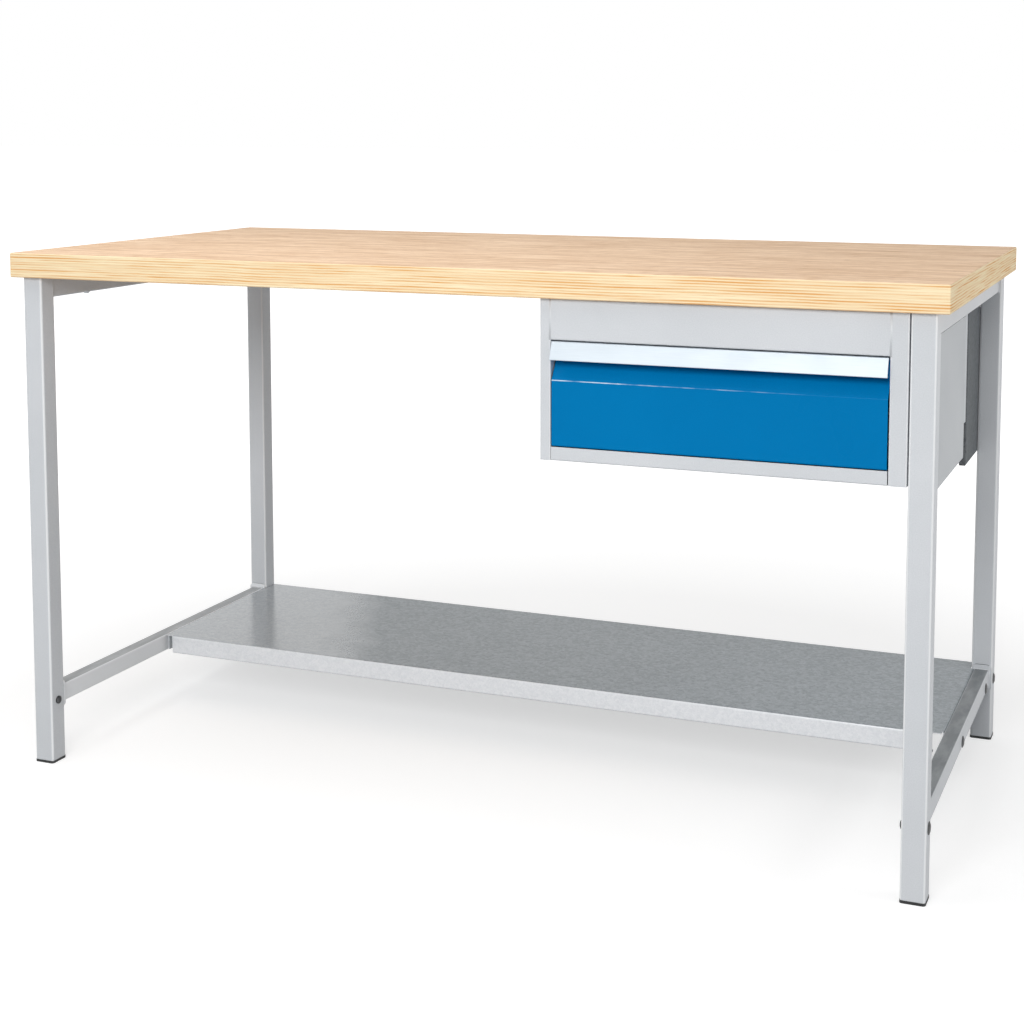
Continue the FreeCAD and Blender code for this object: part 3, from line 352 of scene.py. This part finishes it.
# %% [markdown]
# ### Zinc on sheet
# The shelf is bare galvanised sheet. Zinc freezes in flat crystals of a few millimetres, each
# with its own tone, and between them lies a finer grain. Two sizes of Voronoi cells give the
# crystals, and noise the grain.

# %% Group: spangle
def crystals(tree, vector, scale):
    cells = add(tree, "ShaderNodeTexVoronoi", feature="F1")
    fill(tree, cells.inputs["Vector"], vector)
    fill(tree, cells.inputs["Scale"], scale)
    parts = add(tree, "ShaderNodeSeparateColor")
    fill(tree, parts.inputs[0], cells.outputs["Color"])
    return parts.outputs[0]


spangle, given, result = new_group(
    "zinc_spangle",
    [("Light tone", COLOUR, (0.5, 0.5, 0.5, 1)), ("Dark tone", COLOUR, (0.3, 0.3, 0.3, 1)),
     ("Crystals per metre", NUMBER, 190.0), ("Smooth", NUMBER, 0.34), ("Dull", NUMBER, 0.52)],
    [("Colour", COLOUR), ("Roughness", NUMBER), ("Height", NUMBER)])
place = place_on(spangle)
large = crystals(spangle, place, given["Crystals per metre"])
small = crystals(spangle, place, product(spangle, given["Crystals per metre"], 2.7))
grain = noise(spangle, place, scale=700, detail=2)
clouds = noise(spangle, place, scale=6, detail=3)
tones = weighed(spangle, (large, 0.35), (small, 0.35), (grain, 0.15), (clouds, 0.15))
share = spread(spangle, tones, 0.22, 0.78)
fill(spangle, result["Colour"], blend(spangle, share, given["Dark tone"], given["Light tone"]))
fill(spangle, result["Roughness"], spread(spangle, small, 0.0, 1.0, given["Smooth"], given["Dull"]))
fill(spangle, result["Height"], tones)
print("group:", spangle.name)

# %% [markdown]
# ### Drawn and plated metal
# The handle strip is drawn aluminium, with fine lines along its length. Slides and screws are
# plated bright zinc, which is cloudy rather than lined. One group serves both: the material
# stretches the pattern along the way that the metal was drawn.

# %% Group: drawn metal
drawn, given, result = new_group(
    "drawn_metal",
    [("Vector", VECTOR, (0, 0, 0)), ("Light tone", COLOUR, (0.9, 0.9, 0.9, 1)),
     ("Dark tone", COLOUR, (0.8, 0.8, 0.8, 1)), ("Fineness", NUMBER, 900.0),
     ("Smooth", NUMBER, 0.25), ("Dull", NUMBER, 0.40)],
    [("Colour", COLOUR), ("Roughness", NUMBER), ("Height", NUMBER)])
lines = noise(drawn, given["Vector"], given["Fineness"], detail=3, roughness=0.6)
clouds = noise(drawn, place_on(drawn), scale=14, detail=2)
share = spread(drawn, weighed(drawn, (lines, 0.6), (clouds, 0.4)), 0.3, 0.7)
fill(drawn, result["Colour"], blend(drawn, share, given["Dark tone"], given["Light tone"]))
fill(drawn, result["Roughness"], spread(drawn, share, 0.0, 1.0, given["Dull"], given["Smooth"]))
fill(drawn, result["Height"], lines)
print("group:", drawn.name)

# %% [markdown]
# ## Materials
# Every material starts from one Principled shader, with its plain values set on the shader itself:
# how strong its shine is, and how far it is bare metal. A helper places a group in the material,
# and another sends the group's height through a Bump node. That node takes the rounded normal of
# the edge group where the finish has one.

# %% Start a material
def new_material(name, shine=0.5, bare=0.0):
    made = bpy.data.materials.new(name)
    made.use_nodes = True
    shader = made.node_tree.nodes["Principled BSDF"].inputs
    shader["Specular IOR Level"].default_value = shine
    shader["Metallic"].default_value = bare
    return made, made.node_tree, shader


def use(tree, group, **values):
    made = add(tree, "ShaderNodeGroup", node_tree=group)
    for label, value in values.items():
        fill(tree, made.inputs[label.replace("_", " ")], value)
    return made.outputs


def relief(tree, height, depth, normal=None):
    bump = add(tree, "ShaderNodeBump")
    bump.inputs["Distance"].default_value = depth
    fill(tree, bump.inputs["Height"], height)
    if normal is not None:
        fill(tree, bump.inputs["Normal"], normal)
    return bump.outputs["Normal"]


def stretched(tree, source, x=1.0, y=1.0, z=1.0):
    mapping = add(tree, "ShaderNodeMapping")
    mapping.inputs["Scale"].default_value = (x, y, z)
    fill(tree, mapping.inputs["Vector"], source)
    return mapping.outputs["Vector"]


def dress(material, *names):
    for name in names:
        mesh = nodes[name].data
        if not mesh.materials:
            mesh.materials.append(material)
        for slot in range(len(mesh.materials)):
            mesh.materials[slot] = material
    print(material.name, "on", len(names), "nodes")


print("material helpers ready: new_material, use, relief, stretched, dress")

# %% [markdown]
# ### Grey paint
# Legs, rails and drawer housing share one light grey powder coat. Its edges and round corners catch
# more light than its faces, so their masks mix in a slightly paler tone as a painted highlight. The
# sheet between the right legs has the coat in a darker tone as painted shade. On the lower rails the
# upper side gets a darker tone in patches as painted shade, which a mask of what looks straight up
# brings out. Towards the left end that painted shade is weaker, and the coat is painted paler there
# as painted light.

# %% Grey paint
edge_radius, peel_depth = 0.0010, 0.00006


def painted(name, light, dark, edge, smooth, dull, radius=edge_radius, peel=peel_depth, shine=0.5):
    material, tree, shader = new_material(name, shine)
    skin = use(tree, coat, Light_tone=light, Dark_tone=dark, Smooth=smooth, Dull=dull)
    rim = use(tree, edges, Radius=radius)
    # painted highlight: the edge and round-corner masks mix the paler edge tone into the coat
    bright = sums(tree, "MAXIMUM", rim["Edge"], use(tree, corner_highlight)["Corner"])
    colour = blend(tree, bright, skin["Colour"], edge)
    fill(tree, shader["Base Color"], colour)
    fill(tree, shader["Roughness"], skin["Roughness"])
    fill(tree, shader["Normal"], relief(tree, skin["Height"], peel, rim["Normal"]))
    return material, tree, shader, colour


grey = dict(light=tone(216, 219, 223), dark=tone(204, 208, 212), smooth=0.38, dull=0.50)
pale_edge = tone(240, 242, 244)
grey_paint = painted("grey_powder_coat", **grey, edge=pale_edge, shine=0.25)[0]
dress(grey_paint, "leg_front_left", "leg_front_right", "leg_back_left", "leg_back_right",
      "rail_upper_left", "rail_upper_right", "rail_back", "housing_left", "housing_right",
      "housing_fascia", "housing_floor", "housing_back", "drawer_tray", "drawer_wall_front",
      "drawer_wall_back")
# painted shade: the end sheet gets the grey coat in a darker tone, standing for the shade it lies in
wall_shaded_paint = painted("grey_powder_coat_wall_painted_shade", light=tone(186, 190, 194), dark=tone(176, 181, 185),
                     edge=tone(236, 238, 240), smooth=0.38, dull=0.50, shine=0.25)[0]
dress(wall_shaded_paint, "end_panel")

# %% Grey paint with painted shade and painted light on the lower rails
left_end, right_end = -0.6, 0.6
rail_shaded_paint, tree, shader, colour = painted("grey_powder_coat_rails_painted_shade", **grey, edge=pale_edge, shine=0.25)
here = place_on(tree)
across = split(tree, here)["X"]
upwards = spread(tree, facing(tree)["Z"], 0.80, 0.97)
shade_noise = noise(tree, stretched(tree, here, y=0.3), scale=40, detail=4, roughness=0.6)
shade_patches = spread(tree, shade_noise, 0.30, 0.60, 0.7, 1.0)
shade_along = spread(tree, across, left_end, right_end, 0.72, 1.0)
# painted light: the rails are painted paler towards the left end
painted_light_left = spread(tree, across, left_end, right_end, 0.85, 0.0)
colour = blend(tree, painted_light_left, colour, tone(242, 245, 248))
# painted shade: the upper side of the rails gets a darker tone in patches, weaker to the left
painted_top_shade = product(tree, shade_patches, shade_along, upwards)
fill(tree, shader["Base Color"], blend(tree, painted_top_shade, colour, tone(124, 129, 132)))
dress(rail_shaded_paint, "rail_lower_left", "rail_lower_right")

# %% [markdown]
# ### Blue paint
# The drawer front has the same kind of coat in a strong blue. Along the rounded crease above its
# face a painted highlight lies as a thin pale line with breaks in it. The crease is the only place
# where the front looks a little upwards, so the direction of the surface finds it: a mask takes in
# the directions between the upright face and the slope above it. To the right the painted highlight
# fades out.

# %% Blue paint
blue_paint, tree, shader, colour = painted(
    "blue_powder_coat", light=tone(0, 122, 184), dark=tone(0, 116, 177), edge=tone(30, 142, 202),
    smooth=0.26, dull=0.34, radius=0.0008, peel=0.00003, shine=0.04)
looks = facing(tree)
rising = spread(tree, looks["Z"], 0.04, 0.12)
not_slope = spread(tree, looks["Z"], 0.44, 0.52, 1.0, 0.0)
outwards = spread(tree, looks["Y"], -0.75, -0.55, 1.0, 0.0)
here = place_on(tree)
breaks = noise(tree, stretched(tree, here, y=0.1, z=0.1), scale=34, detail=2)
dashes = spread(tree, breaks, 0.36, 0.56, 0.10, 1.0)
fading = spread(tree, split(tree, here)["X"], 0.22, 0.56, 1.0, 0.0)
# painted highlight: a pale line along the crease, broken up and fading to the right
painted_crease_highlight = product(tree, rising, not_slope, outwards, dashes, fading)
fill(tree, shader["Base Color"], blend(tree, painted_crease_highlight, colour, tone(222, 238, 248)))
dress(blue_paint, "drawer_front")

# %% [markdown]
# ### Galvanised sheet
# The shelf shows its crystals as a fine mottle. Its top has darker tones as painted shade, and the
# front lip a pale tone as painted light; the direction of the surface tells lip from top. At the left
# end the top is smooth enough to mirror the leg behind it, and is painted paler there as a painted
# reflection. The rear wall of the end frame is the same bare sheet, duller, in a darker tone that is
# painted shade.

# %% Galvanised sheet
crystal_depth = 0.00004


def galvanised(name, light, dark, edge_light, smooth, dull, shine=0.5, bare=0.0):
    material, tree, shader = new_material(name, shine, bare)
    skin = use(tree, spangle, Light_tone=light, Dark_tone=dark, Smooth=smooth, Dull=dull)
    rim = use(tree, edges, Radius=0.0008)
    # painted highlight: a paler tone along the sheet's edges
    colour = blend(tree, rim["Edge"], skin["Colour"], edge_light)
    return material, tree, shader, colour, skin["Roughness"], skin["Height"], rim["Normal"]


def finish_sheet(tree, shader, colour, roughness, height, normal):
    fill(tree, shader["Base Color"], colour)
    fill(tree, shader["Roughness"], roughness)
    fill(tree, shader["Normal"], relief(tree, height, crystal_depth, normal))


print("sheet helpers ready: galvanised, finish_sheet")

# %% Galvanised shelf
# painted shade: the top's tones are dark, standing for the shade under the board
shelf_sheet, tree, shader, colour, roughness, height, normal = galvanised(
    "galvanised_sheet", light=tone(166, 173, 178), dark=tone(126, 134, 139), edge_light=tone(226, 228, 231),
    smooth=0.32, dull=0.46, bare=0.20)
here = place_on(tree)
spot = split(tree, here)
wobble = noise(tree, here, scale=9, detail=3)
# painted reflection: the left end of the top is painted paler up to this border
painted_light_border = weighed(tree, (spot["X"], 1.0), (wobble, 0.16), (spot["Y"], 0.49))
painted_light_left = spread(tree, painted_light_border, -0.31, -0.19, 1.0, 0.0)
colour = blend(tree, product(tree, painted_light_left, 0.46), colour, tone(206, 210, 214))
# painted light: the front lip, which faces the lamps, gets a pale tone
is_lip = spread(tree, facing(tree)["Y"], -0.85, -0.45, 1.0, 0.0)
pale = use(tree, spangle, Light_tone=tone(238, 240, 243), Dark_tone=tone(226, 229, 233))
colour = blend(tree, is_lip, colour, pale["Colour"])
smooth_end = product(tree, painted_light_left, sums(tree, "SUBTRACT", 1.0, is_lip))
roughness = spread(tree, smooth_end, 0.0, 1.0, roughness, 0.20)
height = product(tree, height, spread(tree, smooth_end, 0.0, 1.0, 1.0, 0.25))
finish_sheet(tree, shader, colour, roughness, height, normal)
dress(shelf_sheet, "shelf")

# %% Dull sheet of the end frame, darkened as painted shade
# painted shade: the dark tones stand for the shade this sheet lies in
shaded_back_sheet, tree, shader, *back_sheet_skin = galvanised(
    "galvanised_sheet_back_painted_shade", light=tone(118, 122, 125), dark=tone(94, 98, 101), edge_light=tone(160, 164, 167),
    smooth=0.60, dull=0.74, shine=0.12)
finish_sheet(tree, shader, *back_sheet_skin)
dress(shaded_back_sheet, "end_panel_back")

# %% [markdown]
# ### Bright and black metal
# The handle strip is pale aluminium with lines along it. It is anodised, and the clear skin makes it
# look more like paint than like bare metal, so it is only a quarter metallic. Slides, brackets and
# screws are zinc plated. The frame's bolts are blackened steel, and the feet wear caps of black
# plastic.

# %% Handle and zinc
line_depth = 0.00001


def metal(name, light, dark, stretch, fineness, smooth, dull, bare=1.0):
    material, tree, shader = new_material(name, bare=bare)
    skin = use(tree, drawn, Vector=stretched(tree, place_on(tree), *stretch), Light_tone=light,
               Dark_tone=dark, Fineness=fineness, Smooth=smooth, Dull=dull)
    rim = use(tree, edges, Radius=0.0005)
    fill(tree, shader["Base Color"], skin["Colour"])
    fill(tree, shader["Roughness"], skin["Roughness"])
    fill(tree, shader["Normal"], relief(tree, skin["Height"], line_depth, rim["Normal"]))
    return material


aluminium = metal("handle_aluminium", light=tone(208, 217, 224), dark=tone(198, 208, 216),
                  stretch=(0.02, 1.0, 1.0), fineness=1400, smooth=0.44, dull=0.58, bare=0.25)
dress(aluminium, "drawer_handle")
zinc = metal("bright_zinc", light=tone(214, 217, 220), dark=tone(176, 180, 184),
             stretch=(1.0, 0.08, 1.0), fineness=500, smooth=0.26, dull=0.42)
dress(zinc, *[f"slide_{part}_{side}" for part in ("bracket", "fixed", "middle", "drawer")
              for side in ("left", "right")])
screw_zinc = metal("screw_zinc", light=tone(208, 211, 214), dark=tone(160, 164, 168),
                   stretch=(1.0, 1.0, 1.0), fineness=900, smooth=0.24, dull=0.40)
dress(screw_zinc, "shelf_nuts", "back_rail_bolts", "back_rail_nuts", "rail_screws",
      "back_rail_screws", "housing_screws", "panel_screws", "front_rivets", "handle_rivets",
      "slide_screws")

# %% Black bolts and caps
black_steel = painted("black_steel", light=tone(44, 45, 47), dark=tone(26, 27, 29), edge=tone(92, 94, 96),
                      smooth=0.34, dull=0.52, radius=0.0006)[0]
dress(black_steel, "frame_bolts", "frame_nuts", "shelf_bolts")
cap_plastic = painted("cap_plastic", light=tone(38, 39, 40), dark=tone(24, 25, 26), edge=tone(58, 59, 60),
                      smooth=0.50, dull=0.68, radius=0.0006, peel=0.00008)[0]
dress(cap_plastic, "foot_caps")

# %% [markdown]
# ### The plywood board
# The board is beech ply. Its faces are veneer with a fine grain along the length, short dark
# flecks and a few longer streaks. Its edges show the stack: about ten pairs of layers, pale where
# the grain runs along the edge and browner where it is cut across. One material serves both: the
# direction that a face looks tells them apart.

# %% Veneer of the faces
board, tree, shader = new_material("beech_ply", shine=0.04)
here = place_on(tree)
fine = noise(tree, stretched(tree, here, x=0.06), scale=520, detail=3, roughness=0.6)
broad = noise(tree, stretched(tree, here, x=0.12), scale=52, detail=5, roughness=0.7, distortion=0.3)
flecks = noise(tree, stretched(tree, here, x=0.16), scale=260, detail=1, roughness=0.4)
flecks = spread(tree, flecks, 0.60, 0.74)
streaks = noise(tree, stretched(tree, here, x=0.05), scale=26, detail=3, roughness=0.55, distortion=0.3)
streaks = spread(tree, streaks, 0.60, 0.76)
grain = weighed(tree, (fine, 0.35), (broad, 0.65))
veneer = blend(tree, spread(tree, grain, 0.38, 0.62), tone(210, 171, 134), tone(251, 221, 189))
veneer = blend(tree, product(tree, flecks, 0.45), veneer, tone(168, 120, 82))
veneer = blend(tree, product(tree, streaks, 0.55), veneer, tone(180, 134, 96))
print("veneer nodes:", len(tree.nodes))

# %% Layers of the edges
pairs_per_metre = 250
sway = noise(tree, stretched(tree, here, z=0.6), scale=5, detail=2)
level = weighed(tree, (split(tree, here)["Z"], pairs_per_metre), (sway, 1.1))
wave = sums(tree, "SINE", product(tree, level, 2 * math.pi))
layer = spread(tree, wave, -0.4, 0.6)
along = noise(tree, stretched(tree, here, x=0.014, y=0.014), scale=480, detail=4, roughness=0.65)
dashes = spread(tree, along, 0.36, 0.58)
patches = noise(tree, stretched(tree, here, x=0.06, y=0.06), scale=150, detail=2, roughness=0.5)
strength = spread(tree, patches, 0.34, 0.62, 0.35, 1.0)
brown = weighed(tree, (product(tree, layer, strength, dashes), 0.9), (dashes, 0.22))
stack = blend(tree, brown, tone(255, 238, 200), tone(228, 166, 96))
print("one pair of layers is", 1000 / pairs_per_metre, "mm thick")

# %% Put the board together
groove_depth = 0.00010
is_face = spread(tree, sums(tree, "ABSOLUTE", facing(tree)["Z"]), 0.55, 0.85)
is_edge = sums(tree, "SUBTRACT", 1.0, is_face)
fill(tree, shader["Base Color"], blend(tree, is_face, stack, veneer))
rough_face = product(tree, spread(tree, grain, 0.3, 0.7, 0.56, 0.44), is_face)
rough_edge = product(tree, spread(tree, dashes, 0.0, 1.0, 0.48, 0.62), is_edge)
fill(tree, shader["Roughness"], sums(tree, "ADD", rough_face, rough_edge))
high_face = product(tree, sums(tree, "SUBTRACT", fine, flecks), is_face)
high_edge = product(tree, sums(tree, "SUBTRACT", along, layer), is_edge)
grooves = sums(tree, "ADD", high_face, high_edge)
rim = use(tree, edges, Radius=0.0012)
fill(tree, shader["Normal"], relief(tree, grooves, groove_depth, rim["Normal"]))
dress(board, "worktop")

# %% [markdown]
# ## Welds
# The rails of the end frames are welded: the upper ones to the legs, the lower ones to the plates
# at their ends. A weld is a row of frozen drops, each laid over the one before. That is also the
# simplest way to model it: small icospheres in a row, each flattened a little along the seam.

# %% Make a piece that rides on the frame
def new_piece(name, bm, material):
    bmesh.ops.recalc_face_normals(bm, faces=bm.faces)
    for face in bm.faces:
        face.smooth = True
    mesh = bpy.data.meshes.new(name)
    bm.to_mesh(mesh)
    bm.free()
    mesh.materials.append(material)
    piece = bpy.data.objects.new(name, mesh)
    scene.collection.objects.link(piece)
    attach(piece, "frame")
    print(name, "has", len(mesh.polygons), "faces")


print("piece helper ready: new_piece")

# %% Weld the end frames
rail_width, lower_rail_height, end_plate_thick = 0.025, 0.030, 0.004
upper_drop, lower_drop = 0.0013, 0.0015
drop_spacing, drop_flatness = 1.1, 0.85


def lay_bead(bm, start, end, radius):
    start, end = Vector(start), Vector(end)
    run = end - start
    drops = max(2, round(run.length / (radius * drop_spacing)))
    turn = run.to_track_quat("Z", "Y").to_matrix().to_4x4()
    for number in range(drops + 1):
        spot = Matrix.Translation(start + run * number / drops)
        drop = spot @ turn @ Matrix.Diagonal((1.0, 1.0, drop_flatness, 1.0))
        bmesh.ops.create_icosphere(bm, subdivisions=2, radius=radius, matrix=drop)


def weld_rail(kind, side, drop):
    leg_low, leg_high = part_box(f"leg_front_{side}")
    low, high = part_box(f"rail_{kind}_{side}")
    post, level = (leg_low.x + leg_high.x) / 2, (low.z + high.z) / 2
    tall = lower_rail_height if kind == "lower" else high.z - low.z
    bottom, top = level - tall / 2, level + tall / 2
    joint = -leg_high.y - (end_plate_thick if kind == "lower" else 0)
    inner, outer = post - rail_width / 2, post + rail_width / 2
    seam = top if kind == "lower" else bottom
    bm = bmesh.new()
    for y in (-joint, joint):
        for x in (inner, outer):
            lay_bead(bm, (x, y, bottom), (x, y, top), drop)
        lay_bead(bm, (inner, y, seam), (outer, y, seam), drop)
    new_piece(f"weld_{kind}_{side}", bm, grey_paint)


for side in ("left", "right"):
    weld_rail("upper", side, upper_drop)
    weld_rail("lower", side, lower_drop)

# %% [markdown]
# ## Ground seams
# A second kind of seam closes the groove between the stiles and the strip over the drawer. It was
# ground flush before painting, so it is a low bar with rounded edges, flush with the front. Its
# paint is the grey coat without the edge group, so it has no painted edge highlight and no rounded
# edge shading.

# %% Close the seams beside the strip over the drawer
flush_paint, tree, shader = new_material("grey_powder_coat_flush", shine=0.40)
skin = use(tree, coat, Light_tone=grey["light"], Dark_tone=grey["dark"],
           Smooth=grey["smooth"], Dull=grey["dull"])
fill(tree, shader["Base Color"], skin["Colour"])
fill(tree, shader["Roughness"], skin["Roughness"])
fill(tree, shader["Normal"], relief(tree, skin["Height"], peel_depth))

seam_width, seam_depth, seam_round = 0.0040, 0.0014, 0.0004
seam_shift, seam_proud = 0.0008, 0.00006
strip_low, strip_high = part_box("housing_fascia")
size = Vector((seam_width, seam_depth, strip_high.z - strip_low.z))
for side, x in (("left", strip_low.x - seam_shift), ("right", strip_high.x + seam_shift)):
    centre = Vector((x, strip_low.y + seam_depth / 2 - seam_proud, (strip_low.z + strip_high.z) / 2))
    bm = bmesh.new()
    bmesh.ops.create_cube(bm, size=1, matrix=Matrix.Translation(centre) @ Matrix.Diagonal((*size, 1)))
    front_edges = [edge for edge in bm.edges if all(vert.co.y < centre.y for vert in edge.verts)
                   and abs(edge.verts[0].co.z - edge.verts[1].co.z) > seam_width]
    bmesh.ops.bevel(bm, geom=front_edges, offset=seam_round, segments=2, profile=0.5, affect="EDGES",
                    material=-1)
    new_piece(f"seam_{side}", bm, flush_paint)

# %% [markdown]
# ## Check
# Every node must have a finish; the script lists the nodes that have none.

# %% List the nodes without a finish
left_out = [name for name, node in nodes.items() if not node.data.materials]
print("nodes without a finish:", left_out)
